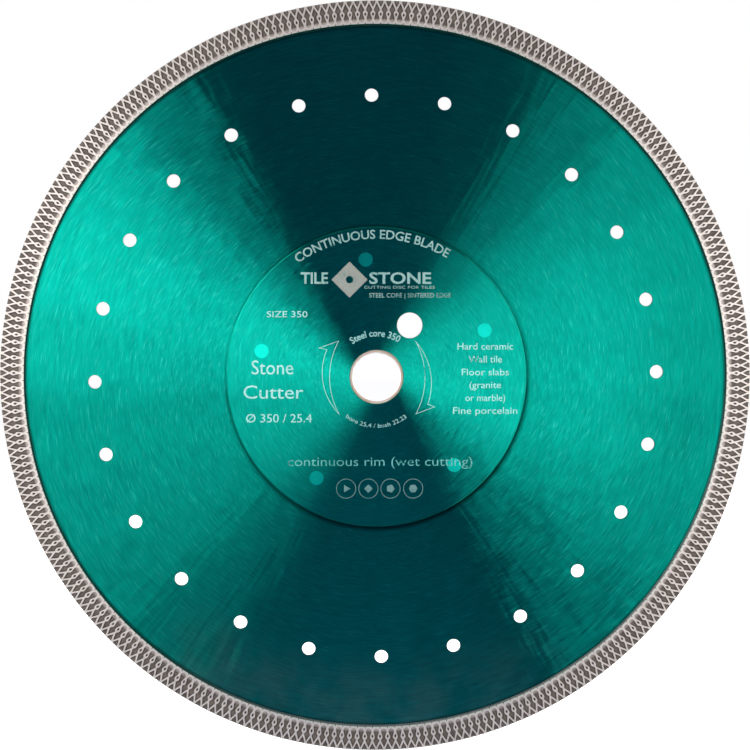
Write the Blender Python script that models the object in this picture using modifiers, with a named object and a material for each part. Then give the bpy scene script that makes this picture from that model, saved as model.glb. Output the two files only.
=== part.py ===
"""Diamond cutting blade, 350 mm across, with a continuous mesh-turbo rim.

The blade stands upright like a wheel on its arbor: its axis is world Y, its front face looks
along -Y and its bore centre is the origin. Every piece is drawn lying flat, with x to the
right, y up and z towards the front, and one parent empty turns the whole blade upright.
"""

import math

import bmesh
import bpy
from mathutils import Matrix, Vector

MM = 0.001

# The blade as a whole.
BLADE_RADIUS = 175.0 * MM
CORE_THICKNESS = 2.0 * MM
RIM_THICKNESS = 2.8 * MM
HUB_DISC_THICKNESS = 0.8 * MM
HUB_DISC_RADIUS = 70.0 * MM
HUB_EDGE_CHAMFER = 0.4 * MM

# The arbor hole, and the bush that reduces it to a smaller spindle.
ARBOR_RADIUS = 25.4 / 2 * MM
SPINDLE_RADIUS = 22.23 / 2 * MM
BUSH_THICKNESS = 3.0 * MM
BUSH_CHAMFER = 0.25 * MM
BUSH_CLEARANCE = 0.02 * MM

# The sintered rim grips a thin tongue that runs round the core.
RIM_FACE_INNER_RADIUS = 164.1 * MM
RIM_INNER_RADIUS = 163.2 * MM
TONGUE_RADIUS = 166.5 * MM
TONGUE_THICKNESS = 1.0 * MM
JOINT_GAP = 0.05 * MM

# Holes through the steel.
COOLING_HOLE_COUNT = 24
COOLING_HOLE_RADIUS = 6.3 / 2 * MM
COOLING_CIRCLE_RADIUS = 131.2 * MM
COOLING_FIRST_ANGLE = math.radians(1.0)
DRIVE_PIN_RADIUS = 12.0 / 2 * MM
DRIVE_PIN_CIRCLE_RADIUS = 28.6 * MM
DRIVE_PIN_ANGLE = math.radians(57.1)

# Flush rivets through both hub discs and the core.
RIVET_COUNT = 5
RIVET_CIRCLE_RADIUS = 54.9 * MM
RIVET_FIRST_ANGLE = math.radians(23.3)
RIVET_HEAD_RADIUS = 3.3 * MM
RIVET_SHANK_RADIUS = 2.5 * MM
RIVET_CLEARANCE = 0.02 * MM

# Flats round each circle.
OUTER_STEPS = 144
HUB_STEPS = 120
BORE_STEPS = 60
DRIVE_PIN_STEPS = 36
SMALL_HOLE_STEPS = 24

CUT_PAST = 1.0 * MM
HALF_CORE = CORE_THICKNESS / 2
HALF_HUB = HALF_CORE + HUB_DISC_THICKNESS
SHARP_EDGE = math.radians(30)


def clear_scene():
    for obj in list(bpy.data.objects):
        bpy.data.objects.remove(obj, do_unlink=True)


def new_collection(name):
    collection = bpy.data.collections.new(name)
    bpy.context.scene.collection.children.link(collection)
    return collection


def metal(name, colour, roughness, metallic=1.0):
    material = bpy.data.materials.new(name)
    material.use_nodes = True
    shader = material.node_tree.nodes["Principled BSDF"]
    shader.inputs["Base Color"].default_value = (*colour, 1.0)
    shader.inputs["Roughness"].default_value = roughness
    shader.inputs["Metallic"].default_value = metallic
    return material


def place(mesh, name, collection, parent, location=(0, 0, 0)):
    obj = bpy.data.objects.new(name, mesh)
    collection.objects.link(obj)
    obj.parent = parent
    obj.location = location
    return obj


def profile_mesh(name, outline):
    """A closed outline of (radius, height) points, which a Screw modifier turns about z."""
    points = [(radius, 0.0, height) for radius, height in outline]
    edges = [(i, (i + 1) % len(points)) for i in range(len(points))]
    mesh = bpy.data.meshes.new(name)
    mesh.from_pydata(points, edges, [])
    return mesh


def turn(obj, steps):
    screw = obj.modifiers.new("turned", "SCREW")
    screw.axis = "Z"
    screw.steps = steps
    screw.render_steps = steps
    screw.use_merge_vertices = True
    screw.merge_threshold = 0.001 * MM
    screw.use_smooth_shade = False


def turned_piece(name, outline, steps, material, collection, parent):
    obj = place(profile_mesh(name, outline), name, collection, parent)
    turn(obj, steps)
    obj.data.materials.append(material)
    return obj


def realise(obj):
    """Puts the object's modifiers into its mesh, shaded smooth except over sharp edges."""
    graph = bpy.context.evaluated_depsgraph_get()
    mesh = bpy.data.meshes.new_from_object(obj.evaluated_get(graph))
    obj.modifiers.clear()
    obj.data = mesh
    mesh.shade_smooth()
    mesh.set_sharp_from_angle(angle=SHARP_EDGE)


def on_circle(radius, angle, height=0.0):
    return Vector((radius * math.cos(angle), radius * math.sin(angle), height))


def circle_of_places(count, radius, first_angle):
    return [on_circle(radius, first_angle + i * math.tau / count) for i in range(count)]


def cutter(name, places, sections, steps, collection, parent):
    """Straight or stepped holes: sections are (low z, low radius, high z, high radius)."""
    shape = bmesh.new()
    for at in places:
        for low, low_radius, high, high_radius in sections:
            bmesh.ops.create_cone(
                shape,
                cap_ends=True,
                segments=steps,
                radius1=low_radius,
                radius2=high_radius,
                depth=high - low,
                matrix=Matrix.Translation(at + Vector((0, 0, (low + high) / 2))),
            )
    mesh = bpy.data.meshes.new(name)
    shape.to_mesh(mesh)
    shape.free()
    obj = place(mesh, name, collection, parent)
    obj.hide_render = True
    obj.display_type = "WIRE"
    return obj


def cut(piece, tool):
    boolean = piece.modifiers.new(f"cut {tool.name}", "BOOLEAN")
    boolean.operation = "DIFFERENCE"
    boolean.solver = "EXACT"
    boolean.object = tool


def core_outline():
    """Full thickness out to the rim, then the thin tongue that the rim grips."""
    shoulder = RIM_INNER_RADIUS - JOINT_GAP
    half_tongue = TONGUE_THICKNESS / 2
    return [
        (ARBOR_RADIUS, HALF_CORE),
        (shoulder, HALF_CORE),
        (shoulder, half_tongue),
        (TONGUE_RADIUS, half_tongue),
        (TONGUE_RADIUS, -half_tongue),
        (shoulder, -half_tongue),
        (shoulder, -HALF_CORE),
        (ARBOR_RADIUS, -HALF_CORE),
    ]


def rim_outline():
    """A ring with a groove for the tongue, and bevels that run down to the core's faces."""
    half_rim = RIM_THICKNESS / 2
    half_groove = TONGUE_THICKNESS / 2 + JOINT_GAP
    groove_radius = TONGUE_RADIUS + JOINT_GAP
    return [
        (RIM_FACE_INNER_RADIUS, half_rim),
        (BLADE_RADIUS, half_rim),
        (BLADE_RADIUS, -half_rim),
        (RIM_FACE_INNER_RADIUS, -half_rim),
        (RIM_INNER_RADIUS, -HALF_CORE),
        (RIM_INNER_RADIUS, -half_groove),
        (groove_radius, -half_groove),
        (groove_radius, half_groove),
        (RIM_INNER_RADIUS, half_groove),
        (RIM_INNER_RADIUS, HALF_CORE),
    ]


def hub_disc_outline(side):
    """side is +1 for the disc on the front face and -1 for the one on the rear face."""
    inner = HALF_CORE + JOINT_GAP
    chamfer_start = HALF_HUB - HUB_EDGE_CHAMFER
    outline = [
        (ARBOR_RADIUS, HALF_HUB),
        (HUB_DISC_RADIUS - HUB_EDGE_CHAMFER, HALF_HUB),
        (HUB_DISC_RADIUS, chamfer_start),
        (HUB_DISC_RADIUS, inner),
        (ARBOR_RADIUS, inner),
    ]
    if side > 0:
        return outline
    return [(radius, -height) for radius, height in reversed(outline)]


def rivet_outline():
    """Half of the section: a shank with a countersunk head at each end, closed on the axis."""
    return [
        (0.0, HALF_HUB),
        (RIVET_HEAD_RADIUS, HALF_HUB),
        (RIVET_SHANK_RADIUS, HALF_CORE),
        (RIVET_SHANK_RADIUS, -HALF_CORE),
        (RIVET_HEAD_RADIUS, -HALF_HUB),
        (0.0, -HALF_HUB),
    ]


def bush_outline():
    half_bush = BUSH_THICKNESS / 2
    outer = ARBOR_RADIUS - BUSH_CLEARANCE
    return [
        (SPINDLE_RADIUS + BUSH_CHAMFER, half_bush),
        (outer - BUSH_CHAMFER, half_bush),
        (outer, half_bush - BUSH_CHAMFER),
        (outer, BUSH_CHAMFER - half_bush),
        (outer - BUSH_CHAMFER, -half_bush),
        (SPINDLE_RADIUS + BUSH_CHAMFER, -half_bush),
        (SPINDLE_RADIUS, BUSH_CHAMFER - half_bush),
        (SPINDLE_RADIUS, half_bush - BUSH_CHAMFER),
    ]


def make_cutters(collection, parent):
    rivets = circle_of_places(RIVET_COUNT, RIVET_CIRCLE_RADIUS, RIVET_FIRST_ANGLE)
    cooling = circle_of_places(COOLING_HOLE_COUNT, COOLING_CIRCLE_RADIUS, COOLING_FIRST_ANGLE)
    drive_pin = [on_circle(DRIVE_PIN_CIRCLE_RADIUS, DRIVE_PIN_ANGLE)]
    past = HALF_HUB + CUT_PAST
    shank = RIVET_SHANK_RADIUS + RIVET_CLEARANCE
    head = RIVET_HEAD_RADIUS + RIVET_CLEARANCE
    slope = (RIVET_HEAD_RADIUS - RIVET_SHANK_RADIUS) / HUB_DISC_THICKNESS
    # Each countersink starts inside the core and ends beyond the disc, on the head's own slope.
    inside = HALF_CORE - CUT_PAST / 2
    inside_radius = shank - slope * (HALF_CORE - inside)
    past_radius = head + slope * (past - HALF_HUB)
    front_sink = [(inside, inside_radius, past, past_radius)]
    rear_sink = [(-past, past_radius, -inside, inside_radius)]
    straight = [(-past, shank, past, shank)]
    hole = [(-past, COOLING_HOLE_RADIUS, past, COOLING_HOLE_RADIUS)]
    pin_hole = [(-past, DRIVE_PIN_RADIUS, past, DRIVE_PIN_RADIUS)]
    small, large = SMALL_HOLE_STEPS, DRIVE_PIN_STEPS
    return {
        "cooling": cutter("cooling_hole_cutter", cooling, hole, small, collection, parent),
        "drive_pin": cutter("drive_pin_cutter", drive_pin, pin_hole, large, collection, parent),
        "shanks": cutter("rivet_shank_cutter", rivets, straight, small, collection, parent),
        "front_sinks": cutter("front_sink_cutter", rivets, front_sink, small, collection, parent),
        "rear_sinks": cutter("rear_sink_cutter", rivets, rear_sink, small, collection, parent),
    }


def make_core(parts, upright, tools, material):
    core = turned_piece("steel_core", core_outline(), OUTER_STEPS, material, parts, upright)
    for tool in ("cooling", "drive_pin", "shanks"):
        cut(core, tools[tool])
    realise(core)


def make_hub_disc(name, side, sinks, parts, upright, tools, material):
    disc = turned_piece(name, hub_disc_outline(side), HUB_STEPS, material, parts, upright)
    cut(disc, tools["drive_pin"])
    cut(disc, tools[sinks])
    realise(disc)


def make_rivets(parts, upright, material):
    places = circle_of_places(RIVET_COUNT, RIVET_CIRCLE_RADIUS, RIVET_FIRST_ANGLE)
    first = turned_piece("flush_rivet_1", rivet_outline(), SMALL_HOLE_STEPS, material, parts, upright)
    realise(first)
    first.location = places[0]
    for number, at in enumerate(places[1:], start=2):
        place(first.data, f"flush_rivet_{number}", parts, upright, at)


def main():
    clear_scene()
    parts = new_collection("diamond_blade")
    cutters = new_collection("cutters")
    upright = bpy.data.objects.new("blade_upright", None)
    upright.rotation_euler.x = math.radians(90)
    parts.objects.link(upright)

    lacquer = metal("green_lacquer", (0.0, 0.25, 0.21), 0.35)
    hub_lacquer = metal("green_hub_lacquer", (0.0, 0.27, 0.23), 0.35)
    rivet_lacquer = metal("green_rivet_lacquer", (0.0, 0.4, 0.34), 0.3)
    sintered = metal("sintered_rim_metal", (0.55, 0.5, 0.48), 0.45)
    bush_metal = metal("bush_metal", (0.55, 0.5, 0.42), 0.35)

    tools = make_cutters(cutters, upright)
    bpy.context.view_layer.update()
    make_core(parts, upright, tools, lacquer)
    turned_piece("diamond_rim", rim_outline(), OUTER_STEPS, sintered, parts, upright)
    make_hub_disc("front_hub_disc", 1, "front_sinks", parts, upright, tools, hub_lacquer)
    make_hub_disc("rear_hub_disc", -1, "rear_sinks", parts, upright, tools, hub_lacquer)
    make_rivets(parts, upright, rivet_lacquer)
    turned_piece("reducing_bush", bush_outline(), BORE_STEPS, bush_metal, parts, upright)
    for name in ("diamond_rim", "reducing_bush"):
        realise(bpy.data.objects[name])


main()
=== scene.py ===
"""Looks of the diamond blade: its lacquer, sintered mesh rim, bush and print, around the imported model.

The blade stands upright with its axis along Y and its front face towards -Y. Outlines are drawn
flat, with x to the right, y up and a height above the middle of the blade, and then set upright.
Lengths named in millimetres are multiplied by MM where they are used.
"""

import math

import bmesh
import bpy
import numpy as np
from mathutils import Matrix, Vector, noise
from mathutils.geometry import delaunay_2d_cdt


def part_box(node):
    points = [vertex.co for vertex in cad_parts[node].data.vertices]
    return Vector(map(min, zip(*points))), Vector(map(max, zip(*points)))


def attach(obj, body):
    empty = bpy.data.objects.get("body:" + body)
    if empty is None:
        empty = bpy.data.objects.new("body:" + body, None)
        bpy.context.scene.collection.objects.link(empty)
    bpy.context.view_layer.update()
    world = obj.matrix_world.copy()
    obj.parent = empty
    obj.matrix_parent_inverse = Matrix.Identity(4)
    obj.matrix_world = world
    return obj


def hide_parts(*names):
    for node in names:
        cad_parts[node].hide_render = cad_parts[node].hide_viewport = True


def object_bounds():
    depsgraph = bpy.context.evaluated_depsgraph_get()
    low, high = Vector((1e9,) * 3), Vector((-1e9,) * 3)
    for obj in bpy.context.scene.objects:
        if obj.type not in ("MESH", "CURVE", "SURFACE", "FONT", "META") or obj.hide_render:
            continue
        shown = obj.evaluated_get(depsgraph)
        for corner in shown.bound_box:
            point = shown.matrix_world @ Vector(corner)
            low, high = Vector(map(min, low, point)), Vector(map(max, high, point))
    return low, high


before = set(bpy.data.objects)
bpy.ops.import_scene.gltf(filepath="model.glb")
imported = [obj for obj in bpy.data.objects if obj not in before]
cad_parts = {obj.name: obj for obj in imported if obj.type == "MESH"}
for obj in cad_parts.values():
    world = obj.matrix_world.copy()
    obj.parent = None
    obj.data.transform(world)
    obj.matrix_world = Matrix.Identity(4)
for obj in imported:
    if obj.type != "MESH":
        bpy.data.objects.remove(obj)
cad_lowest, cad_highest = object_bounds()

MM = 0.001

# Sizes read from the frame, in millimetres.
RIM_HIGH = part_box("diamond_rim")[1]
HUB_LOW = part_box("front_hub_disc")[0]
BLADE_RADIUS = RIM_HIGH.x / MM
HALF_RIM = RIM_HIGH.y / MM
HUB_FACE = -HUB_LOW.y / MM

# The rim's relief repeats round the blade. FIRST_CELL is how far round the first cell stands, in cells.
CELLS = 296
CELL_ANGLE = math.tau / CELLS
FIRST_CELL = 0.46

# Millimetres. Outlines are (distance from the cell's axis, radius), depths are measured from the
# rim's face and heights from the blade's middle.
RELIEF_DEPTH = 0.6
SHELF_START_DEPTH = 0.14
SHELF_END_DEPTH = 0.5
EDGE_ROUNDING = 0.08
ROUNDING_DROP = 0.1
FLOOR_INSET = 0.3
SHELF_INSET = 0.13
SHELF_TOP_RADIUS = 166.75
RAMP_TOP_RADIUS = 166.95
SHELF_ARC_CENTRE = 166.3
SHELF_ARC_RADIUS = 1.2
SHELF_ARC_START = 5.0
SHELF_ARC_STEPS = 4
NOTCH = [(0.0, 172.0), (1.03, 173.95), (1.03, BLADE_RADIUS)]
NOTCH_DIP = 0.1
POCKET = [
    (0.0, 173.6),
    (1.3, 170.75),
    (1.27, 170.35),
    (0.66, 169.6),
    (0.55, 169.1),
    (0.58, 168.6),
    (1.1, 166.9),
]
EYELET = [(0.0, 169.3), (0.36, 168.8), (0.36, 168.35), (0.0, 167.8)]
EYELET_INSET = 0.22
EYELET_DEPTH = 0.5
NICK_TIP_RADIUS = 164.95
NICK_FLOOR_RADIUS = 164.45
NICK_HALF_WIDTH = 0.22
NICK_HEIGHT = 1.067
LIP_RADIUS = 164.1
LEDGE_RADIUS = 163.9
LEDGE_HEIGHT = 0.85
RIM_INNER_RADIUS = 163.2
LEDGE_INNER_HEIGHT = 0.8
GROOVE_RADIUS = 166.55
HALF_GROOVE = 0.55
# Points, heights and angles closer than these count as the same.
SAME_POINT = 1e-4
SAME_HEIGHT = 1e-6
SAME_ANGLE = 1e-7
MERGE_DISTANCE = 0.002
# The moulded relief wanders by up to this much, over waves of this length, between these radii. The
# seed keeps the waves the same in every run.
ROUGH_SHIFT = 0.08
ROUGH_WAVE = 1.3
ROUGH_START, ROUGH_END = 164.3, 174.8
ROUGH_SEED = 1

# Most of a noise texture's values lie between these two.
NOISE_LOW, NOISE_HIGH = 0.3, 0.7


def clear_of_frame(obj):
    bpy.context.scene.collection.objects.link(obj)
    return obj


def mesh_from_flat(name, points, triangles):
    """A mesh of flat (x, y, height) millimetres, set upright in metres."""
    upright = np.stack([points[:, 0], -points[:, 2], points[:, 1]], axis=1) * MM
    mesh = bpy.data.meshes.new(name)
    mesh.from_pydata(upright.tolist(), [], triangles.tolist())
    return mesh


def polar(radius, angle):
    return (radius * math.cos(math.radians(angle)), radius * math.sin(math.radians(angle)))


def arc(radius, start, end, steps):
    """Points of an arc between two angles in degrees."""
    return [polar(radius, start + (end - start) * i / steps) for i in range(steps + 1)]


def circle(radius, sides):
    return arc(radius, 0.0, 360.0, sides)[:-1]


# ---------------------------------------------------------------- materials


class Finish:
    """A material's nodes, added one at a time. A value is a number, a colour or another socket."""

    def __init__(self, name):
        self.material = bpy.data.materials.new(name)
        self.material.use_nodes = True
        self.tree = self.material.node_tree
        self.shader = self.tree.nodes["Principled BSDF"]

    def put(self, socket, value):
        if isinstance(value, bpy.types.NodeSocket):
            self.tree.links.new(value, socket)
        elif socket.type == "RGBA":
            socket.default_value = (*value, 1.0)
        else:
            socket.default_value = value

    def node(self, kind, inputs=(), **settings):
        made = self.tree.nodes.new(kind)
        for name, value in settings.items():
            setattr(made, name, value)
        for socket, value in dict(inputs).items():
            self.put(made.inputs[socket], value)
        return made

    def math(self, operation, first, second=0.0):
        inputs = {0: first, 1: second}
        return self.node("ShaderNodeMath", inputs, operation=operation).outputs[0]

    def vector(self, operation, first, second=(0.0, 0.0, 0.0)):
        inputs = {0: first, 1: second}
        return self.node("ShaderNodeVectorMath", inputs, operation=operation)

    def noise(self, at, scale, detail=2.0, roughness=0.5):
        inputs = {"Vector": at, "Scale": scale, "Detail": detail, "Roughness": roughness}
        return self.node("ShaderNodeTexNoise", inputs).outputs["Fac"]

    def ranged(self, value, low, high, to_low=0.0, to_high=1.0, smooth=False):
        inputs = {0: value, 1: low, 2: high, 3: to_low, 4: to_high}
        made = self.node("ShaderNodeMapRange", inputs)
        if smooth:
            made.interpolation_type = "SMOOTHSTEP"
        return made.outputs[0]

    def spread(self, noise, low, high):
        """Noise drawn out between two values."""
        return self.ranged(noise, NOISE_LOW, NOISE_HIGH, low, high)

    def mixed(self, share, first, second):
        made = self.node("ShaderNodeMix", {"Factor": share}, data_type="RGBA")
        colours = [socket for socket in made.inputs if socket.type == "RGBA"]
        self.put(colours[0], first)
        self.put(colours[1], second)
        return [socket for socket in made.outputs if socket.type == "RGBA"][0]

    def shade(self, colour, amount):
        """The colour times a number, such as a streak's share of light."""
        grey = self.node("ShaderNodeCombineColor", {0: amount, 1: amount, 2: amount}).outputs[0]
        return self.vector("MULTIPLY", colour, grey).outputs[0]

    def bump(self, height, distance_mm, strength):
        inputs = {"Height": height, "Distance": distance_mm * MM, "Strength": strength}
        return self.node("ShaderNodeBump", inputs).outputs[0]

    def place(self):
        """The point on the piece, in metres in its own frame."""
        return self.node("ShaderNodeTexCoord").outputs["Object"]

    def set(self, **inputs):
        for name, value in inputs.items():
            self.put(self.shader.inputs[name.replace("_", " ").title()], value)
        return self.material


def turned_places(finish):
    """(outward direction, radius in metres, the point) for grinding marks that run round the axis."""
    point = finish.place()
    flat = finish.vector("MULTIPLY", point, (1.0, 0.0, 1.0)).outputs[0]
    outward = finish.vector("NORMALIZE", flat).outputs[0]
    radius = finish.vector("LENGTH", flat).outputs["Value"]
    return outward, radius, point


def streaks(finish, outward, radius, length_mm, width_mm, at_radius_mm=100.0, detail=2.0):
    """Noise drawn out round the axis, without a seam."""
    along = finish.vector("SCALE", outward)
    along.inputs["Scale"].default_value = at_radius_mm / length_mm
    across = finish.math("MULTIPLY", radius, 1.0 / (width_mm * MM))
    row = finish.node("ShaderNodeCombineXYZ", {"Y": across}).outputs[0]
    at = finish.vector("ADD", along.outputs[0], row).outputs[0]
    return finish.noise(at, 1.0, detail=detail)


def facing(finish, outward, degrees, none, full):
    """From 0 to 1 as the outward direction comes round to an angle, between two cosines."""
    turn = math.radians(degrees)
    toward = finish.vector("DOT_PRODUCT", outward, (math.cos(turn), 0.0, math.sin(turn)))
    return finish.ranged(toward.outputs["Value"], none, full, smooth=True)


def patch(finish, outward, radius, degrees, end, start_radius, full_radius):
    """From 0 to 1 towards an angle, and between two radii in millimetres."""
    side = facing(finish, outward, degrees, end, 1.0)
    ring = finish.ranged(radius, start_radius * MM, full_radius * MM, smooth=True)
    return finish.math("MULTIPLY", side, ring)


SLICE_STEP = 7.3


def strokes(finish, point, radius, length_mm, width_mm, tilt, at_radius_mm):
    """Noise in strokes that lean off the circle by tilt degrees. They start and end at the bottom.
    Each tilt reads its own slice of the noise."""
    apart = finish.node("ShaderNodeSeparateXYZ", {0: point})
    turn = finish.math("ARCTAN2", apart.outputs["X"], apart.outputs["Z"])
    along = finish.math("MULTIPLY", turn, at_radius_mm / length_mm)
    lean = finish.math("MULTIPLY", turn, at_radius_mm * math.tan(math.radians(tilt)) / width_mm)
    across = finish.math("ADD", finish.math("MULTIPLY", radius, 1.0 / (width_mm * MM)), lean)
    at = finish.node("ShaderNodeCombineXYZ", {"X": along, "Y": across, "Z": tilt * SLICE_STEP}).outputs[0]
    return finish.noise(at, 1.0, detail=1.0)


LACQUER = (0.003, 0.56, 0.43)
HUB_LACQUER = (0.004, 0.62, 0.48)
RIVET_LACQUER = (0.008, 1.0, 0.82)
SCRATCHED = (0.04, 0.72, 0.58)
# The paler, greyer colour of the painted reflection at the foot.
FOOT_REFLECTION_TINT = (0.14, 0.68, 0.52)
WORN_INK = (0.01, 0.2, 0.18)
LEDGE_LACQUER = (0.006, 0.08, 0.065)
# The lighter colour of the painted highlight on the ledge's lower right stretch.
LEDGE_LIT = (0.3, 0.33, 0.31)
BUSH_STEEL = (0.7, 0.58, 0.5)
BUSH_TANNED = (0.62, 0.44, 0.34)
# A white painted highlight on the chamfer round the bush's bore, and the radii where it starts and is
# full.
BUSH_CHAMFER_HIGHLIGHT = (1.0, 1.0, 1.0)
BUSH_CHAMFER_START, BUSH_CHAMFER_FULL = 11.45, 11.35
RIB_METAL = (0.95, 0.87, 0.81)
# The relief's flanks and floors are darker than its shelves, partly as unground matrix and partly as
# painted shade deep in the pockets.
FLANK_MATRIX_AND_SHADE = (0.055, 0.04, 0.032)
DEEP_MATRIX_AND_SHADE = (0.165, 0.135, 0.112)
SHELF_MATRIX = (0.43, 0.38, 0.345)
EDGE_MATRIX = (0.5, 0.46, 0.44)
LIP_MIST = (0.88, 0.97, 0.85)

# Degrees by which the three sets of strokes lean off the circle.
RISING, FALLING, CROSSING = 7.0, -5.0, 16.0
# Grinding marks are turned as if they ran round circles that miss the axis by this many millimetres.
OFF_CENTRE = 5.0
# Rays that run outwards in the gleam, where the grinding marks lean together, in millimetres.
RAY_WIDTH, RAY_LENGTH = 1.3, 22.0
# How strongly the short marks and the broad clouds turn the gleam, next to the rays.
MARKS_LEAN, CLOUD_LEAN = 0.6, 0.4
# Patches of painted light and shade on the core's lacquer: (angle in degrees, cosine where it ends,
# radius where it starts, and where it is full). The darkened ones go with the share of the tone that is
# left in them.
# Painted shade towards the rim on the right.
SHADED_RIGHT_SIDE = (6.0, 0.6, 95.0, 155.0)
# A painted shadow of the hub at the lower right.
HUB_SHADOW_CORNER = (300.0, -0.6, 73.0, 70.7)
SHADE_PATCHES = [(SHADED_RIGHT_SIDE, 0.72), (HUB_SHADOW_CORNER, 0.3)]
# A paler painted reflection at the foot.
REFLECTED_FOOT = (267.0, 0.77, 125.0, 155.0)
# Rings of painted shade, on the core beside the hub's edge and inside the rim, and on the hub's own edge:
# (radius where it starts, radius where it is full, share of tone).
CORE_SHADE_RINGS = [(71.3, 70.4, 0.7), (161.8, 163.0, 0.45)]
HUB_EDGE_SHADE = [(69.2, 69.7, 0.5)]


def lacquered_steel(
    name, base, roughness, mark_length, mark_width, at_radius, skew, rayed, shade_rings, with_painted_light=False
):
    """Green lacquer over steel that was ground round the axis, so it gleams in two broad fans. The
    grinding marks lean off the circle a little, which shows most on the flanks of the fans. Lengths,
    widths and radii are in millimetres. skew is how far a mark turns the gleam, in radians, and rayed
    how much of that runs in rays. The lacquer is darkened in rings as painted shade. On the core it
    is also darkened as painted shade towards the rim on the right and as a painted shadow of the hub
    at the lower right, and made paler at the foot as a painted reflection."""
    finish = Finish(name)
    outward, radius, point = turned_places(finish)
    marks = streaks(finish, outward, radius, mark_length, mark_width, at_radius, detail=4.0)
    rising = strokes(finish, point, radius, mark_length, mark_width, RISING, at_radius)
    falling = strokes(finish, point, radius, mark_length * 1.2, mark_width * 1.1, FALLING, at_radius)
    crossing = strokes(finish, point, radius, mark_length * 0.8, mark_width * 0.8, CROSSING, at_radius)
    rays = streaks(finish, outward, radius, RAY_WIDTH, RAY_LENGTH, at_radius, detail=3.0)
    cloud = finish.noise(point, 60.0, detail=3.0)
    blotch = finish.noise(point, 160.0, detail=2.0)

    sum_of_marks = finish.math("ADD", finish.math("ADD", marks, rising), falling)
    ground = finish.ranged(sum_of_marks, 1.15, 1.85, -1.0, 1.0)
    bright = finish.ranged(finish.math("MAXIMUM", rising, crossing), 0.65, 0.71)
    tone = finish.ranged(ground, -1.0, 1.0, 0.87, 1.13)
    tone = finish.math("MULTIPLY", tone, finish.spread(blotch, 0.97, 1.03))
    for start, end, share in shade_rings:
        # Each ring darkens the lacquer as painted shade.
        ring_shade = finish.ranged(radius, start * MM, end * MM, 1.0, share, smooth=True)
        tone = finish.math("MULTIPLY", tone, ring_shade)
    if with_painted_light:
        # Painted shade towards the rim on the right, and a painted shadow of the hub at the lower right.
        for place, share in SHADE_PATCHES:
            shade_patch = patch(finish, outward, radius, *place)
            tone = finish.math("MULTIPLY", tone, finish.ranged(shade_patch, 0.0, 1.0, 1.0, share))
        # A paler painted reflection at the foot, in clouds.
        foot_reflection = patch(finish, outward, radius, *REFLECTED_FOOT)
        foot_reflection = finish.math("MULTIPLY", foot_reflection, finish.ranged(cloud, 0.3, 0.6))
        base = finish.mixed(foot_reflection, base, FOOT_REFLECTION_TINT)
    paint = finish.mixed(finish.math("MULTIPLY", bright, 0.5), base, SCRATCHED)

    sideways = finish.vector("CROSS_PRODUCT", outward, (0.0, 1.0, 0.0)).outputs[0]
    lean = finish.vector("SCALE", sideways)
    leans = finish.math("MULTIPLY", ground, MARKS_LEAN)
    leans = finish.math("ADD", leans, finish.spread(rays, -rayed, rayed))
    leans = finish.math("ADD", leans, finish.spread(cloud, -CLOUD_LEAN, CLOUD_LEAN))
    leans = finish.math("MULTIPLY", leans, skew)
    miss = finish.math("DIVIDE", OFF_CENTRE * MM, radius)
    finish.put(lean.inputs["Scale"], finish.math("SUBTRACT", leans, miss))
    tangent = finish.vector("NORMALIZE", finish.vector("ADD", outward, lean.outputs[0]).outputs[0])
    return finish.set(
        base_color=finish.shade(paint, tone),
        metallic=1.0,
        roughness=finish.ranged(ground, -1.0, 1.0, roughness - 0.02, roughness + 0.02),
        anisotropic=1.0,
        tangent=tangent.outputs[0],
        normal=finish.bump(marks, 0.012, strength=0.5),
    )


def lacquered_rivet(name):
    """Ground with the disc but rougher, so it stays lighter than the disc all round."""
    finish = Finish(name)
    outward, radius, point = turned_places(finish)
    fine = finish.noise(point, 2200.0, detail=3.0)
    cloud = finish.noise(point, 300.0, detail=2.0)
    tone = finish.spread(cloud, 0.95, 1.05)
    return finish.set(
        base_color=finish.shade(RIVET_LACQUER, tone),
        metallic=1.0,
        roughness=finish.spread(fine, 0.44, 0.5),
        anisotropic=0.75,
        tangent=outward,
        normal=finish.bump(fine, 0.01, strength=0.4),
    )


def sintered(name, base, metallic, roughness, grit, grain=0.03, ground=0.0, blend=None):
    """Metal powder and diamond grit pressed together: speckled and slightly rough. ground is how
    strongly it shows the grinding round the axis. blend, (start, end, tint), fades it to a tint
    between two radii in millimetres."""
    finish = Finish(name)
    outward, radius, point = turned_places(finish)
    specks = finish.noise(point, 4200.0, detail=3.0, roughness=0.7)
    cloud = finish.noise(point, 350.0, detail=3.0)
    tone = finish.math(
        "MULTIPLY",
        finish.spread(specks, 1.0 - grit, 1.0 + grit),
        finish.spread(cloud, 1.0 - grit * 0.8, 1.0 + grit * 0.8),
    )
    paint = finish.shade(base, tone)
    if blend:
        start, end, tint = blend
        share = finish.ranged(radius, start * MM, end * MM, smooth=True)
        paint = finish.mixed(share, paint, finish.shade(tint, tone))
    return finish.set(
        base_color=paint,
        metallic=metallic,
        roughness=finish.spread(specks, roughness - 0.08, roughness + 0.08),
        anisotropic=ground,
        tangent=outward,
        normal=finish.bump(specks, grain, strength=0.7),
    )


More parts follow.
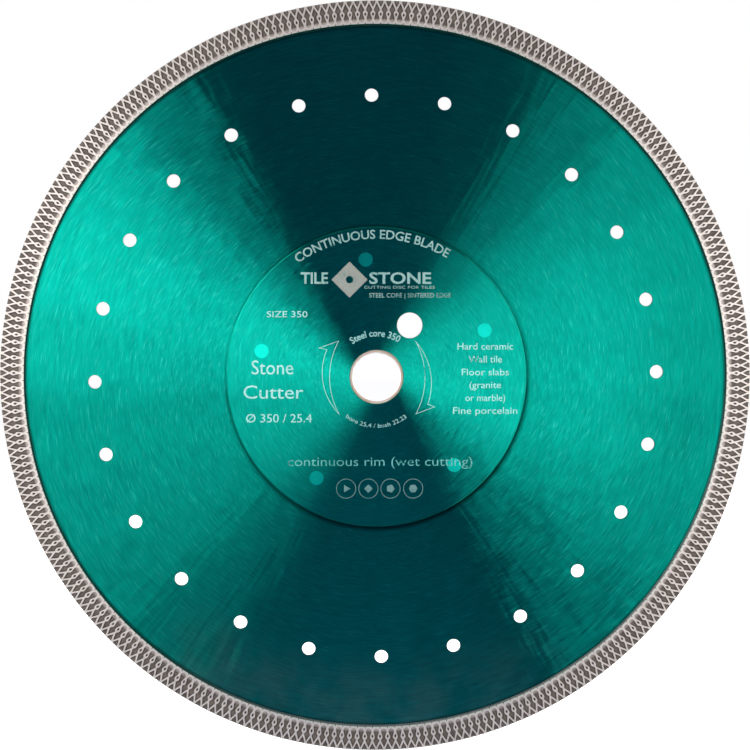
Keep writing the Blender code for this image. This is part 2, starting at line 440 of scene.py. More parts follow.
def oversprayed_ledge_with_highlight(name):
    """The sunk ledge inside the lip, dark with lacquer. Its lower right stretch is lighter, a painted
    highlight where it faces the light from the upper left.
    """
    finish = Finish(name)
    outward, radius, point = turned_places(finish)
    grain = finish.noise(point, 1500.0, detail=3.0)
    # Painted highlight on the lower right stretch, lighter in patches.
    lit_side = facing(finish, outward, degrees=297.0, none=0.35, full=1.0)
    lit_patches = finish.math("MULTIPLY", lit_side, finish.ranged(grain, 0.3, 0.6, 0.7, 1.0))
    paint = finish.mixed(lit_patches, LEDGE_LACQUER, LEDGE_LIT)
    return finish.set(
        base_color=finish.shade(paint, finish.spread(grain, 0.8, 1.2)),
        metallic=0.7,
        roughness=finish.spread(grain, 0.4, 0.5),
        anisotropic=0.6,
        tangent=outward,
        normal=finish.bump(grain, 0.02, strength=0.5),
    )


def turned_bush(name):
    """Bare steel, turned and tanned in patches, with a white painted highlight on the chamfer round its
    bore.
    """
    finish = Finish(name)
    outward, radius, point = turned_places(finish)
    rings = streaks(finish, outward, radius, length_mm=20.0, width_mm=0.12, at_radius_mm=12.0)
    stain = finish.noise(point, 90.0, detail=2.0)
    paint = finish.mixed(finish.ranged(stain, 0.4, 0.6), BUSH_STEEL, BUSH_TANNED)
    # The painted highlight on the chamfer.
    chamfer_highlight = finish.ranged(radius, BUSH_CHAMFER_START * MM, BUSH_CHAMFER_FULL * MM)
    paint = finish.mixed(chamfer_highlight, paint, BUSH_CHAMFER_HIGHLIGHT)
    return finish.set(
        base_color=finish.shade(paint, finish.spread(rings, 0.88, 1.08)),
        metallic=0.3,
        roughness=finish.spread(rings, 0.4, 0.5),
        normal=finish.bump(rings, 0.01, strength=0.6),
    )


def silver_print(name, base, wear):
    """Pale print, worn through in specks to the lacquer under it. wear runs from 0 to 1."""
    finish = Finish(name)
    outward, radius, point = turned_places(finish)
    grain = finish.noise(point, 1500.0, detail=4.0, roughness=0.7)
    patches = finish.noise(point, 70.0, detail=2.0)
    worn = finish.math("ADD", finish.math("MULTIPLY", grain, 0.5), finish.math("MULTIPLY", patches, 0.5))
    gone = finish.ranged(worn, 0.62 - 0.2 * wear, 0.7 - 0.15 * wear)
    ink = finish.shade(base, finish.spread(grain, 0.85, 1.1))
    return finish.set(
        base_color=finish.mixed(gone, ink, WORN_INK),
        metallic=0.3,
        roughness=finish.spread(grain, 0.42, 0.55),
        anisotropic=0.8,
        tangent=outward,
        normal=finish.bump(grain, 0.01, strength=0.5),
    )


def paint_node(name, material):
    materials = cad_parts[name].data.materials
    materials.clear()
    materials.append(material)


# ---------------------------------------------------------------- the rim's relief


def miter(before, at, after, distance):
    """at moved sideways so that both lines through it move by distance, to their right."""
    first, second = (at - before).normalized(), (after - at).normalized()
    normals = Vector((first.y, -first.x)), Vector((second.y, -second.x))
    middle = (normals[0] + normals[1]).normalized()
    return at + middle * (distance / middle.dot(normals[0]))


def offset(half_outline, distance, open_end=False):
    """Half of a recess's outline, widened by distance. It starts on the cell's axis, at the recess's
    inner or outer end, and ends on the axis too, or at the rim's outer edge if open_end is set."""
    points = [Vector(p) for p in half_outline]
    side = 1.0 if points[1].y > points[0].y else -1.0
    before = Vector((-points[1].x, points[1].y))
    after = Vector((-points[-2].x, points[-2].y))
    if open_end:
        after = points[-1] + (points[-1] - points[-2])
    chain = [before, *points, after]
    corners = zip(chain, chain[1:], chain[2:])
    widened = [miter(*corner, side * distance) for corner in corners]
    return [(p.x, p.y) for p in widened]


def with_arc(half_outline, centre, radius, start, steps):
    """The outline finished by an arc down to the axis."""
    down = [(x, centre + y) for x, y in arc(radius, start, -90.0, steps)]
    down[-1] = (0.0, down[-1][1])
    return half_outline + down


def above(outline, radius):
    """The part of a falling outline that is further out than radius, ended on it."""
    kept = [p for p in outline if p[1] > radius]
    last, following = kept[-1], outline[len(kept)]
    share = (last[1] - radius) / (last[1] - following[1])
    return kept + [(last[0] + share * (following[0] - last[0]), radius)]


def below(outline, radius):
    """The part of a falling outline that is further in than radius, started on it."""
    kept = [p for p in outline if p[1] < radius]
    previous, first = outline[len(outline) - len(kept) - 1], kept[0]
    share = (previous[1] - radius) / (previous[1] - first[1])
    return [(previous[0] + share * (first[0] - previous[0]), radius)] + kept


class HalfCell:
    """Half of one cell of the relief, flat: points with heights, and the lines that they make."""

    def __init__(self):
        self.points, self.heights, self.lines = [], [], []

    def line(self, outline, heights, mid_cell=False):
        """Adds a line of (distance from axis, radius) points. mid_cell measures from the other axis."""
        if not isinstance(heights, list):
            heights = [heights] * len(outline)
        indices = [self.point(*p, h, mid_cell) for p, h in zip(outline, heights)]
        self.lines += list(zip(indices, indices[1:]))

    def point(self, from_axis, radius, height, mid_cell):
        turn = from_axis / radius
        angle = CELL_ANGLE / 2 - turn if mid_cell else turn
        at = Vector((radius * math.cos(angle), radius * math.sin(angle)))
        for index, known in enumerate(self.points):
            if (known - at).length < SAME_POINT:
                return index
        self.points.append(at)
        self.heights.append(height)
        return len(self.points) - 1

    def border(self):
        """Joins the points on each axis, and on the outer and inner edges, in order."""
        angle = [math.atan2(p.y, p.x) for p in self.points]
        radius = [p.length for p in self.points]
        every = range(len(self.points))
        for wanted in (0.0, CELL_ANGLE / 2):
            found = [i for i in every if abs(angle[i] - wanted) < SAME_ANGLE]
            found.sort(key=lambda i: radius[i])
            self.lines += list(zip(found, found[1:]))
        for wanted in (RIM_INNER_RADIUS, BLADE_RADIUS):
            found = [i for i in every if abs(radius[i] - wanted) < SAME_POINT]
            found.sort(key=lambda i: angle[i])
            self.lines += list(zip(found, found[1:]))
            if wanted == BLADE_RADIUS:
                self.outer = [(angle[i], self.heights[i]) for i in found]


def shelf_height(radius):
    """The shelf slopes down from the pocket's inner end outwards."""
    inner_end = SHELF_ARC_CENTRE - SHELF_ARC_RADIUS + SHELF_INSET
    share = (radius - inner_end) / (SHELF_TOP_RADIUS - inner_end)
    return HALF_RIM - SHELF_START_DEPTH - share * (SHELF_END_DEPTH - SHELF_START_DEPTH)


def draw_half_cell():
    """The notch, eyelet and nick stand on the cell's axis, and the pocket half a cell further round."""
    cell = HalfCell()
    top, edge = HALF_RIM, HALF_RIM - ROUNDING_DROP
    floor = HALF_RIM - RELIEF_DEPTH
    cell.line(offset(NOTCH, EDGE_ROUNDING, True), top)
    cell.line(NOTCH, edge)
    cell.line(offset(NOTCH, -FLOOR_INSET, True), floor)
    cell.point(0.0, BLADE_RADIUS, floor - NOTCH_DIP, False)

    pocket = with_arc(POCKET, SHELF_ARC_CENTRE, SHELF_ARC_RADIUS, SHELF_ARC_START, SHELF_ARC_STEPS)
    deep = above(offset(pocket, -FLOOR_INSET), RAMP_TOP_RADIUS)
    shallow = below(offset(pocket, -SHELF_INSET), SHELF_TOP_RADIUS)
    cell.line(offset(pocket, EDGE_ROUNDING), top, True)
    cell.line(pocket, edge, True)
    cell.line(deep + [(0.0, RAMP_TOP_RADIUS)], floor, True)
    shelf = [(0.0, SHELF_TOP_RADIUS)] + shallow
    cell.line(shelf, [shelf_height(radius) for _, radius in shelf], True)

    cell.line(offset(EYELET, EDGE_ROUNDING), top)
    cell.line(EYELET, edge)
    pit = offset(EYELET, -EYELET_INSET)
    cell.line([pit[0], pit[-1]], top - EYELET_DEPTH)

    # The nick cuts the lip, and its floor comes out half-way down the wall to the ledge.
    mouth = (NICK_HALF_WIDTH, LIP_RADIUS)
    share = (top - NICK_HEIGHT) / (top - LEDGE_HEIGHT)
    floor_end = (0.0, LIP_RADIUS + share * (LEDGE_RADIUS - LIP_RADIUS))
    cell.line([(0.0, NICK_TIP_RADIUS), mouth], top)
    cell.line([(0.0, NICK_FLOOR_RADIUS), floor_end], NICK_HEIGHT)
    cell.line([mouth, floor_end], [top, NICK_HEIGHT])
    cell.line([mouth, (CELL_ANGLE / 2 * LIP_RADIUS, LIP_RADIUS)], top)
    cell.line([(0.0, LEDGE_RADIUS), (CELL_ANGLE / 2 * LEDGE_RADIUS, LEDGE_RADIUS)], LEDGE_HEIGHT)
    cell.point(0.0, RIM_INNER_RADIUS, LEDGE_INNER_HEIGHT, False)
    cell.point(0.0, RIM_INNER_RADIUS, LEDGE_INNER_HEIGHT, True)
    cell.point(0.0, BLADE_RADIUS, top, True)
    cell.border()
    return cell


# The triangulation keeps the triangles inside the border, and treats points this close as one.
CDT_OUTPUT, CDT_EPSILON = 1, 1e-6
# The rim's finishes, in the order of its materials.
GROUND, FLANK, FLOOR, SHELF, LEDGE, WALL = range(6)
UP, DOWN, OUTWARD, INWARD = (0, 0, 1), (0, 0, -1), (1, 0, 0), (-1, 0, 0)
# The lacquer's mist on the lip, and the shelves' outer ends, which fade to the floors' colour as painted
# shade where the shelf runs deep: (radius where it starts, radius where it is full, tint).
MISTED_LIP = (LIP_RADIUS + 0.5, LIP_RADIUS + 0.1, LIP_MIST)
SHADED_SHELF = (SHELF_TOP_RADIUS - 1.3, SHELF_TOP_RADIUS + 0.1, DEEP_MATRIX_AND_SHADE)


def finish_of(corners, heights):
    """The finish of a triangle of the relief, from its corners' radii and heights."""
    radius = sum(c.length for c in corners) / 3
    if radius < LIP_RADIUS:
        return LEDGE
    if min(heights) > HALF_RIM - SAME_HEIGHT:
        return GROUND
    if max(heights) < HALF_RIM - RELIEF_DEPTH + SAME_HEIGHT:
        return FLOOR
    if NICK_TIP_RADIUS < radius < SHELF_TOP_RADIUS:
        return SHELF
    return FLANK


def strip(low, high):
    """Triangles between two rows of points that run over the same angles; the low row comes first."""
    triangles, i, j = [], 0, 0
    while i + 1 < len(low) or j + 1 < len(high):
        if j + 1 == len(high) or (i + 1 < len(low) and low[i + 1] <= high[j + 1]):
            triangles.append((i, i + 1, len(low) + j))
            i += 1
        else:
            triangles.append((i, len(low) + j, len(low) + j + 1))
            j += 1
    return triangles


def half_cell_mesh():
    """(points, triangles, finishes) of half a cell, from the axis plane out to the outer wall."""
    cell = draw_half_cell()
    flat, _, relief, sources, _, _ = delaunay_2d_cdt(cell.points, cell.lines, [], CDT_OUTPUT, CDT_EPSILON)
    if len(flat) != len(cell.points):
        raise ValueError(f"lines of the relief cross: {len(cell.points)} points became {len(flat)}")
    heights = [cell.heights[source[0]] for source in sources]
    points = [(p.x, p.y, h) for p, h in zip(flat, heights)]
    faces = [tuple(f) for f in relief]
    finishes = [finish_of([flat[i] for i in f], [heights[i] for i in f]) for f in relief]
    directions = [UP] * len(faces)

    def add(corners, triangles, direction):
        first = len(points)
        points.extend(corners)
        for triangle in triangles:
            faces.append(tuple(first + i for i in triangle))
            finishes.append(WALL)
            directions.append(direction)

    # The outer wall ends at the middle plane, where the other face's wall also has its corners.
    angles = {a for a, _ in cell.outer}
    middle = sorted(angles | {CELL_ANGLE / 2 - a for a in angles})
    middle = [a for i, a in enumerate(middle) if i == 0 or a - middle[i - 1] > SAME_ANGLE]
    rows = [(a, 0.0) for a in middle] + cell.outer
    wall = [(BLADE_RADIUS * math.cos(a), BLADE_RADIUS * math.sin(a), h) for a, h in rows]
    add(wall, strip(middle, [a for a, _ in cell.outer]), OUTWARD)

    turn = (math.cos(CELL_ANGLE / 2), math.sin(CELL_ANGLE / 2))
    bore = [
        (RIM_INNER_RADIUS, LEDGE_INNER_HEIGHT),
        (RIM_INNER_RADIUS, HALF_GROOVE),
        (GROOVE_RADIUS, HALF_GROOVE),
        (GROOVE_RADIUS, 0.0),
    ]
    for (near, high), (far, low), direction in zip(bore, bore[1:], (INWARD, DOWN, INWARD)):
        quad = [
            (near, 0.0, high),
            (near * turn[0], near * turn[1], high),
            (far * turn[0], far * turn[1], low),
            (far, 0.0, low),
        ]
        add(quad, [(0, 1, 2), (0, 2, 3)], direction)

    points, faces = np.array(points), np.array(faces)
    corners = points[faces]
    normals = np.cross(corners[:, 1] - corners[:, 0], corners[:, 2] - corners[:, 0])
    turned_in = (normals * np.array(directions)).sum(axis=1) < 0
    faces[turned_in] = faces[turned_in][:, ::-1]
    return points, faces, np.array(finishes)


def turned_copies(points, triangles, finishes, angles):
    """The same surface at each angle round the axis."""
    cos, sin = np.cos(angles)[:, None], np.sin(angles)[:, None]
    x = cos * points[:, 0] - sin * points[:, 1]
    y = sin * points[:, 0] + cos * points[:, 1]
    z = np.broadcast_to(points[:, 2], x.shape)
    every = np.stack([x, y, z], axis=-1).reshape(-1, 3)
    first = (np.arange(len(angles)) * len(points))[:, None, None]
    return every, (triangles[None] + first).reshape(-1, 3), np.tile(finishes, len(angles))


def joined(*surfaces):
    first, points, triangles, finishes = 0, [], [], []
    for some_points, some_triangles, some_finishes in surfaces:
        points.append(some_points)
        triangles.append(some_triangles + first)
        finishes.append(some_finishes)
        first += len(some_points)
    return np.concatenate(points), np.concatenate(triangles), np.concatenate(finishes)


def roughen_relief(shape):
    """Shifts the relief's points a little along the face, so that no two cells are quite alike."""
    noise.seed_set(ROUGH_SEED)
    for point in shape.verts:
        radius = math.hypot(point.co.x, point.co.z) / MM
        if ROUGH_START < radius < ROUGH_END:
            inside = min(radius - ROUGH_START, ROUGH_END - radius, 1.0)
            shift = noise.noise_vector(point.co / (ROUGH_WAVE * MM))
            point.co.x += shift.x * inside * ROUGH_SHIFT * MM
            point.co.z += shift.z * inside * ROUGH_SHIFT * MM


def make_rim():
    points, triangles, finishes = half_cell_mesh()
    mirrored = points * (1.0, -1.0, 1.0), triangles[:, ::-1], finishes
    cell = joined((points, triangles, finishes), mirrored)
    turns = (np.arange(CELLS) + FIRST_CELL) * CELL_ANGLE
    front = turned_copies(*cell, turns)
    rear = turned_copies(*cell, turns + CELL_ANGLE / 2)
    rear = rear[0] * (1.0, 1.0, -1.0), rear[1][:, ::-1], rear[2]
    points, triangles, finishes = joined(front, rear)
    mesh = mesh_from_flat("mesh_rim", points, triangles)
    for material in (
        sintered("ground_ribs", RIB_METAL, 0.65, 0.45, 0.07, ground=0.6, blend=MISTED_LIP),
        # The flanks and floors are darkened partly as painted shade.
        sintered("relief_flanks", FLANK_MATRIX_AND_SHADE, 0.15, 0.6, 0.25),
        sintered("relief_floors", DEEP_MATRIX_AND_SHADE, 0.15, 0.6, 0.3),
        sintered("relief_shelves", SHELF_MATRIX, 0.3, 0.45, 0.15, ground=0.4, blend=SHADED_SHELF),
        oversprayed_ledge_with_highlight("oversprayed_ledge_with_highlight"),
        sintered("edge_wall", EDGE_MATRIX, 0.3, 0.5, 0.2),
    ):
        mesh.materials.append(material)
    mesh.polygons.foreach_set("material_index", finishes.astype(np.int32))
    shape = bmesh.new()
    shape.from_mesh(mesh)
    bmesh.ops.remove_doubles(shape, verts=shape.verts, dist=MERGE_DISTANCE * MM)
    roughen_relief(shape)
    shape.to_mesh(mesh)
    shape.free()
    rim = clear_of_frame(bpy.data.objects.new("mesh_rim", mesh))
    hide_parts("diamond_rim")
    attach(rim, "blade")


# ---------------------------------------------------------------- the print on the hub


def solid_of(curve):
    """(points, triangles) of a curve's filled and extruded shape."""
    curve.extrude = 0.5
    maker = bpy.data.objects.new("maker", curve)
    mesh = bpy.data.meshes.new_from_object(maker)
    mesh.calc_loop_triangles()
    points = np.array([v.co for v in mesh.vertices])
    triangles = np.array([t.vertices for t in mesh.loop_triangles])
    bpy.data.objects.remove(maker)
    bpy.data.meshes.remove(mesh)
    bpy.data.curves.remove(curve)
    return points, triangles


def lettering(text, cap, width, weight=0.0):
    """Words from the origin to the right, with this capital height and width in millimetres."""
    curve = bpy.data.curves.new("lettering", "FONT")
    curve.body = text
    curve.resolution_u = FONT_STEPS
    curve.offset = weight
    points, triangles = solid_of(curve)
    left, right = points[:, 0].min(), points[:, 0].max()
    points[:, 0] = (points[:, 0] - left) * width / (right - left)
    points[:, 1] *= cap / FONT_CAP
    return points, triangles


def filled(*loops):
    """The area between closed loops of (x, y) points."""
    curve = bpy.data.curves.new("outline", "CURVE")
    curve.dimensions = "2D"
    curve.fill_mode = "BOTH"
    for loop in loops:
        spline = curve.splines.new("POLY")
        spline.points.add(len(loop) - 1)
        for point, (x, y) in zip(spline.points, loop):
            point.co = (x, y, 0.0, 1.0)
        spline.use_cyclic_u = True
    return solid_of(curve)


def edge_distance(point, start, end):
    """How far a point is from the nearest point of an edge."""
    edge = end - start
    share = min(max((point - start).dot(edge) / edge.length_squared, 0.0), 1.0)
    return (start + edge * share - point).length


def outlined(loop, width):
    """A line of this width inside a closed loop, which runs anticlockwise. Where the loop is too
    narrow for two such lines, as near a sharp tail, it is filled."""
    points = [Vector(p) for p in loop]
    following = points[1:] + points[:1]
    inner = [miter(points[i - 1], points[i], following[i], -width) for i in range(len(points))]
    room = [min(edge_distance(p, *edge) for edge in zip(points, following)) for p in inner]
    return filled(loop, [(p.x, p.y) for p, clear in zip(inner, room) if clear > LEAST_ROOM * width])


def moved(shape, x, y):
    return shape[0] + (x, y, 0.0), shape[1]


def moved_loop(loop, x, y):
    return [(px + x, py + y) for px, py in loop]


def round_top(shape, radius, middle, width):
    """Lettering bent round the bore, with its feet on the radius and its middle at an angle."""
    points, triangles = shape
    angle = math.radians(middle) - (points[:, 0] - width / 2) / radius
    r = radius + points[:, 1]
    return np.stack([r * np.cos(angle), r * np.sin(angle), points[:, 2]], axis=1), triangles


def round_bottom(shape, radius, middle, width):
    """The same with its heads towards the bore, so that it reads from left to right underneath."""
    points, triangles = shape
    angle = math.radians(middle) + (points[:, 0] - width / 2) / radius
    r = radius - points[:, 1]
    return np.stack([r * np.cos(angle), r * np.sin(angle), points[:, 2]], axis=1), triangles


def print_piece(name, shapes, ink):
    """One piece of print from several flat shapes, its face just proud of the hub disc."""
    points = np.concatenate([points for points, _ in shapes])
    counts = np.cumsum([0] + [len(points) for points, _ in shapes])
    triangles = np.concatenate([faces + first for (_, faces), first in zip(shapes, counts)])
    points[:, 2] = np.where(points[:, 2] > 0, HUB_FACE + PRINT_PROUD, HUB_FACE - PRINT_ROOT)
    mesh = mesh_from_flat(name, points, triangles)
    mesh.materials.append(ink)
    piece = clear_of_frame(bpy.data.objects.new(name, mesh))
    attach(piece, "blade")


# The height of a capital in Blender's own font, for a font size of 1, and the steps in its curves.
FONT_CAP = 0.729
FONT_STEPS = 3
PRINT_PROUD = 0.02
PRINT_ROOT = 0.01
HEAVY = 0.022
BOLD = 0.012
SEMIBOLD = 0.004
THIN = -0.006

# Straight rows, (words, left, foot, width, capital height, weight), in millimetres from the middle
# of the bore.
NAME_ROWS = [
    ("TILE", -35.2, 43.5, 12.6, 5.4, HEAVY),
    ("STONE", -3.4, 43.5, 28.9, 5.4, HEAVY),
    ("CUTTING DISC FOR TILES", -5.8, 41.1, 33.0, 1.4, 0.0),
    ("STEEL CORE | SINTERED EDGE", -3.4, 37.0, 38.2, 2.2, SEMIBOLD),
]
LEFT_ROWS = [
    ("SIZE 350", -51.1, 27.8, 18.9, 3.0, 0.0),
    ("Stone", -58.2, 1.2, 19.4, 6.9, 0.0),
    ("Cutter", -62.0, -10.1, 27.9, 6.5, 0.0),
    ("\u00d8 350 / 25.4", -60.8, -21.2, 30.6, 4.1, 0.0),
]
LOW_ROW = [("continuous rim (wet cutting)", -41.4, -41.6, 86.2, 4.5, THIN)]

# The right column's rows, (words, width), which are centred under each other.
RIGHT_ROWS = [
    ("Hard ceramic", 26.0),
    ("Wall tile", 15.6),
    ("Floor slabs", 22.0),
    ("(granite", 14.8),
    ("or marble)", 18.6),
    ("Fine porcelain", 30.0),
]
RIGHT_MIDDLE, RIGHT_TOP_FOOT, RIGHT_SPACING, RIGHT_CAP = 50.8, 12.7, 6.0, 3.3

# Bent rows: (words, radius of the feet, angle of the middle, span in degrees, capital height, weight).
TOP_ROW = ("CONTINUOUS EDGE BLADE", 64.4, 92.0, 65.0, 4.3, BOLD)
OVER_BORE = ("Steel core 350", 18.9, 92.0, 68.0, 3.3, BOLD)
UNDER_BORE = ("bore 25.4 / bush 22.23", 23.8, 269.5, 74.0, 2.1, 0.0)

EMBLEM = (-12.6, 45.3)
EMBLEM_RADIUS, EMBLEM_HOLE = 8.4, 1.7
# Four rings in a row, each with a plain shape that has one more corner than the last.
RING_PLACES = [(-14.2, -52.2), (-3.8, -52.2), (6.5, -52.2), (17.1, -52.2)]
RING_RADIUS, RING_HOLE, SIGN_RADIUS = 4.65, 4.35, 2.0
# Arrows for the turning direction: tail, tip, barb, notch, and a point on the inner and outer bow,
# each as (radius, angle).
LEFT_ARROW = [(24.7, 226.5), (24.3, 135.8), (30.4, 153.8), (26.5, 151.5), (21.8, 180.0), (25.4, 180.0)]
RIGHT_ARROW = [(24.7, 44.0), (25.2, -44.0), (30.9, -27.0), (27.2, -28.0), (22.5, 0.0), (25.6, 0.0)]
BOW_STEPS = 20
ARROW_LINE = 0.23
# A line's inner edge needs this share of the line's width as room, or it is left out.
LEAST_ROOM = 0.98


def straight_rows(rows):
    return [moved(lettering(words, cap, width, weight), x, y) for words, x, y, width, cap, weight in rows]


def bent_row(bend, words, radius, middle, span, cap, weight):
    width = math.radians(span) * radius
    return bend(lettering(words, cap, width, weight), radius, middle, width)


def bow(start, through, end, steps):
    """Points of the arc from start to end through a point between them, without its end."""
    a, b, c = (Vector(p) for p in (start, through, end))
    ab, ac = b - a, c - a
    doubled_area = 2 * (ab.x * ac.y - ab.y * ac.x)
    centre = a + Vector(
        (
            (ac.y * ab.length_squared - ab.y * ac.length_squared) / doubled_area,
            (ab.x * ac.length_squared - ac.x * ab.length_squared) / doubled_area,
        )
    )
    radius = (a - centre).length
    first = math.atan2(a.y - centre.y, a.x - centre.x)
    sweep = math.remainder(math.atan2(c.y - centre.y, c.x - centre.x) - first, math.tau)
    angles = [first + sweep * i / steps for i in range(steps)]
    return [(centre.x + radius * math.cos(t), centre.y + radius * math.sin(t)) for t in angles]


def arrow(tail, tip, barb, notch, inner, outer):
    """The line round a crescent arrow, from places given as (radius, angle)."""
    tail, tip, barb, notch = polar(*tail), polar(*tip), polar(*barb), polar(*notch)
    inner_bow = bow(tip, polar(*inner), tail, BOW_STEPS)
    outer_bow = bow(tail, polar(*outer), notch, BOW_STEPS)
    clockwise = inner_bow + outer_bow + [notch, barb]
    return outlined(clockwise[::-1], ARROW_LINE)


def make_print():
    silver = silver_print("silver_ink", (0.4, 0.82, 0.78), wear=0.2)
    grey = silver_print("grey_ink", (0.37, 0.64, 0.59), wear=0.4)
    warm = silver_print("warm_ink", (0.42, 0.45, 0.4), wear=0.3)
    faint = silver_print("faint_ink", (0.18, 0.64, 0.6), wear=0.6)
    dim = silver_print("dim_ink", (0.2, 0.38, 0.37), wear=0.6)

    print_piece("print_top_arc", [bent_row(round_top, *TOP_ROW)], grey)

    emblem = filled(
        moved_loop(circle(EMBLEM_RADIUS, 4), *EMBLEM), moved_loop(circle(EMBLEM_HOLE, 24), *EMBLEM)
    )
    print_piece("print_name_rows", straight_rows(NAME_ROWS), grey)
    print_piece("print_emblem", [emblem], warm)

    print_piece("print_left_rows", straight_rows(LEFT_ROWS), silver)

    column = []
    for number, (words, width) in enumerate(RIGHT_ROWS):
        foot = RIGHT_TOP_FOOT - RIGHT_SPACING * number
        column.append(moved(lettering(words, RIGHT_CAP, width), RIGHT_MIDDLE - width / 2, foot))
    print_piece("print_right_column", column, silver)

    arcs = [bent_row(round_top, *OVER_BORE), bent_row(round_bottom, *UNDER_BORE)]
    print_piece("print_bore_arcs", arcs, silver)

    print_piece("print_low_row", straight_rows(LOW_ROW), faint)

    marks = []
    for number, place in enumerate(RING_PLACES):
        marks.append(moved(filled(circle(RING_RADIUS, 48), circle(RING_HOLE, 48)), *place))
        marks.append(moved(filled(circle(SIGN_RADIUS, 3 + number)), *place))
    print_piece("print_low_rings", marks, dim)

    print_piece("print_arrows", [arrow(*LEFT_ARROW), arrow(*RIGHT_ARROW)], silver)


# ---------------------------------------------------------------- stage, lights and camera


# The floor's half width in metres.
FLOOR_HALF = 6.0
ROOM_COLOUR = (0.0, 0.002, 0.025, 1.0)

# The soft panels stand this far off in metres, in a ring round the blade's axis.
BANK_DISTANCE = 1.6
BANK_WIDTH = 1.2
PANEL_SPAN = 15
FAINTEST_PANEL = 0.01
WHITE = (1.0, 0.985, 0.97)
BLUISH = (0.7, 0.9, 1.3)

SENSOR_WIDTH, LENS = 36.0, 102.8
CAMERA_PLACE = (-0.0245, -1.0, 0.0273)
CAMERA_AIM = (-0.00068, 0.0, 0.00082)


def make_floor():
    """A pale floor that glows, so it is nearly as white as the background."""
    finish = Finish("pale_floor")
    speckle = finish.noise(finish.place(), 40.0)
    material = finish.set(
        base_color=finish.shade((0.9, 0.9, 0.9), finish.spread(speckle, 0.99, 1.01)),
        roughness=1.0,
        emission_color=(1.0, 1.0, 1.0),
        emission_strength=0.97,
    )
    mesh = bpy.data.meshes.new("floor")
    half, level = FLOOR_HALF, cad_lowest.z
    corners = [(-half, -half, level), (half, -half, level), (half, half, level), (-half, half, level)]
    mesh.from_pydata(corners, [], [(0, 1, 2, 3)])
    mesh.materials.append(material)
    floor = clear_of_frame(bpy.data.objects.new("floor", mesh))
    floor.visible_glossy = False
    floor.visible_diffuse = False


def make_world():
    """White behind the blade, and a dim bluish room in its reflections."""
    world = bpy.data.worlds.new("studio")
    world.use_nodes = True
    bpy.context.scene.world = world
    nodes, links = world.node_tree.nodes, world.node_tree.links
    output = nodes["World Output"]
    seen = nodes["Background"]
    seen.inputs["Color"].default_value = (1.0, 1.0, 1.0, 1.0)
    seen.inputs["Strength"].default_value = 1.0
    room = nodes.new("ShaderNodeBackground")
    room.inputs["Color"].default_value = ROOM_COLOUR
    room.inputs["Strength"].default_value = 1.0
    rays = nodes.new("ShaderNodeLightPath")
    mix = nodes.new("ShaderNodeMixShader")
    links.new(rays.outputs["Is Camera Ray"], mix.inputs[0])
    links.new(room.outputs[0], mix.inputs[1])
    links.new(seen.outputs[0], mix.inputs[2])
    links.new(mix.outputs[0], output.inputs["Surface"])


def panel(name, azimuth, span, radiance, tint, off_axis=60.0, behind=False):
    """An area light aimed at the bore. azimuth turns it anticlockwise from +X as seen from the front,
    off_axis tilts it off the blade's axis, and span is the arc it fills, all in degrees."""
    around, tilt = math.radians(azimuth), math.radians(off_axis)
    across, up = math.cos(around), math.sin(around)
    toward = Vector((math.sin(tilt) * across, -math.cos(tilt), math.sin(tilt) * up))
    side = Vector((-up, 0.0, across))
    light = bpy.data.lights.new(name, "AREA")
    light.shape = "RECTANGLE"
    light.size = BANK_WIDTH
    light.size_y = BANK_DISTANCE * math.sin(tilt) * math.radians(span)
    light.energy = radiance * math.pi * light.size * light.size_y
    light.color = tint
    lamp = clear_of_frame(bpy.data.objects.new(name, light))
    if behind:
        toward.y = -toward.y
    place = Matrix((side.cross(toward), side, toward)).transposed().to_4x4()
    place.translation = toward * BANK_DISTANCE
    lamp.matrix_world = place
    lamp.visible_camera = False


def bank(name, middle, half_span, radiance, tint):
    """A row of panels that is brightest in its middle and fades to nothing at half_span degrees."""
    for azimuth in range(middle - half_span, middle + half_span + 1, PANEL_SPAN):
        fade = math.cos(math.pi / 2 * (azimuth - middle) / half_span) ** 2
        if fade > FAINTEST_PANEL:
            panel(f"{name}_{azimuth}", azimuth, PANEL_SPAN, radiance * fade, tint)


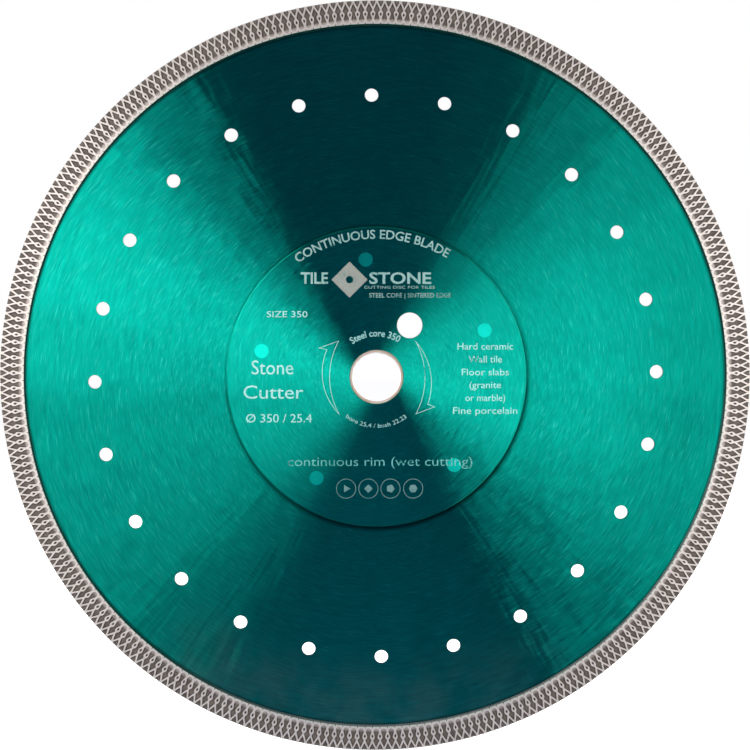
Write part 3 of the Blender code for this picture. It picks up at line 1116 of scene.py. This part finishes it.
def make_lights():
    bank("key", middle=157, half_span=43, radiance=7.8, tint=WHITE)
    bank("fill", middle=13, half_span=56, radiance=5.3, tint=WHITE)
    bank("side", middle=203, half_span=45, radiance=1.6, tint=WHITE)
    bank("low", middle=268, half_span=75, radiance=0.6, tint=BLUISH)
    panel("low_right", azimuth=322, span=40.0, radiance=1.7, tint=WHITE, off_axis=78.0)
    panel("overhead", azimuth=90, span=50.0, radiance=0.9, tint=WHITE, off_axis=86.0)
    for azimuth in (170, 10):
        panel(f"rear_{azimuth}", azimuth, span=80.0, radiance=2.2, tint=WHITE, behind=True)


def make_camera():
    """A long lens a metre in front of the blade, a little to its left and above it."""
    camera = bpy.data.cameras.new("camera")
    camera.sensor_width = SENSOR_WIDTH
    camera.lens = LENS
    camera.clip_start, camera.clip_end = 0.01, 50.0
    eye = clear_of_frame(bpy.data.objects.new("camera", camera))
    eye.location = CAMERA_PLACE
    look = Vector(CAMERA_AIM) - Vector(CAMERA_PLACE)
    eye.rotation_mode = "QUATERNION"
    eye.rotation_quaternion = look.to_track_quat("-Z", "Y")
    bpy.context.scene.camera = eye


def main():
    bpy.context.scene.view_settings.view_transform = "Standard"
    make_camera()
    make_world()
    make_floor()
    make_lights()
    core = lacquered_steel(
        "core_lacquer",
        LACQUER,
        roughness=0.31,
        mark_length=7.0,
        mark_width=0.5,
        at_radius=105.0,
        skew=0.06,
        rayed=1.2,
        shade_rings=CORE_SHADE_RINGS,
        with_painted_light=True,
    )
    paint_node("steel_core", core)
    hub = lacquered_steel(
        "hub_lacquer",
        HUB_LACQUER,
        roughness=0.32,
        mark_length=5.0,
        mark_width=0.45,
        at_radius=50.0,
        skew=0.08,
        rayed=0.5,
        shade_rings=HUB_EDGE_SHADE,
    )
    paint_node("front_hub_disc", hub)
    paint_node("rear_hub_disc", hub)
    rivet = lacquered_rivet("rivet_lacquer")
    for number in range(1, 6):
        paint_node(f"flush_rivet_{number}", rivet)
    paint_node("reducing_bush", turned_bush("bush_metal"))
    make_rim()
    make_print()


main()
